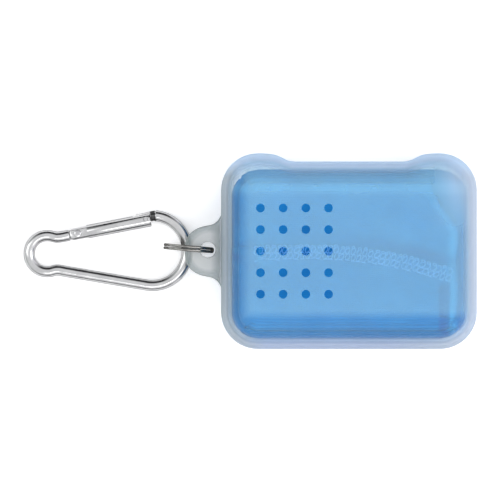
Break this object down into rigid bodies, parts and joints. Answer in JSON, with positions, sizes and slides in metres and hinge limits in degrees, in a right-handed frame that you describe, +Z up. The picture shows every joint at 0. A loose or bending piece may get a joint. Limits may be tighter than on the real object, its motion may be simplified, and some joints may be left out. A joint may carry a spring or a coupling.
{
  "type": "cooling towel in silicone travel case",
  "caption": "Folded knitted towel in a soft translucent silicone travel case with vent holes, hung from a snap-hook carabiner by a split ring.",
  "frame": {"origin": "under the middle of the whole object, on the surface it lies on", "axes": "+X from the carabiner to the case, +Y towards the case's mouth, +Z up out of the vented front face"},
  "size_m": [0.1604, 0.0692, 0.027],
  "materials": {
    "silicone": "soft satin, translucent, frosted white",
    "towel_knit": "matt fine knit",
    "hem_thread": "matt sewing thread",
    "ring_steel": "nickel plated, bright",
    "carabiner_alloy": "tumbled and polished",
    "gate_steel": "bright"
  },
  "bodies": {
    "case": {"silicone_case": "silicone", "towel": "towel_knit", "towel_hem": "hem_thread"},
    "ring": {"split_ring": "ring_steel"},
    "carabiner": {"carabiner_body": "carabiner_alloy"},
    "gate": {"carabiner_gate": "carabiner_alloy", "gate_rivet": "gate_steel", "latch_pin": "gate_steel", "gate_spring": "gate_steel"},
    "plunger": {"gate_plunger": "gate_steel"}
  },
  "joints": [
    {"name": "ring_swing", "type": "hinge", "parent": "case", "child": "ring", "pos_m": [-0.01449, 0.00037, 0.0135], "axis": [0.0889, 0.996, 0], "range_deg": [0, 60]},
    {"name": "carabiner_swing", "type": "hinge", "parent": "ring", "child": "carabiner", "pos_m": [-0.0222, 0.00105, 0.00366], "axis": [-0.0687, 0.9976, -0.002], "range_deg": [-40, 70]},
    {"name": "gate_open", "type": "hinge", "parent": "carabiner", "child": "gate", "pos_m": [-0.06103, 0.0062, 0.00254], "axis": [0.0287, 0, -0.9996], "range_deg": [0, 30], "stiffness_Nm_per_rad": 0.03, "springref_deg": -34.38},
    {"name": "plunger_slide", "type": "slide", "parent": "gate", "child": "plunger", "axis": [0.9818, 0.1876, 0.0282], "range_m": [0, 0.00065], "deforming": ["gate_spring"]}
  ],
  "couplings": [
    {"joint": "plunger_slide", "follows": "gate_open", "m_per_rad": 0.001146}
  ]
}
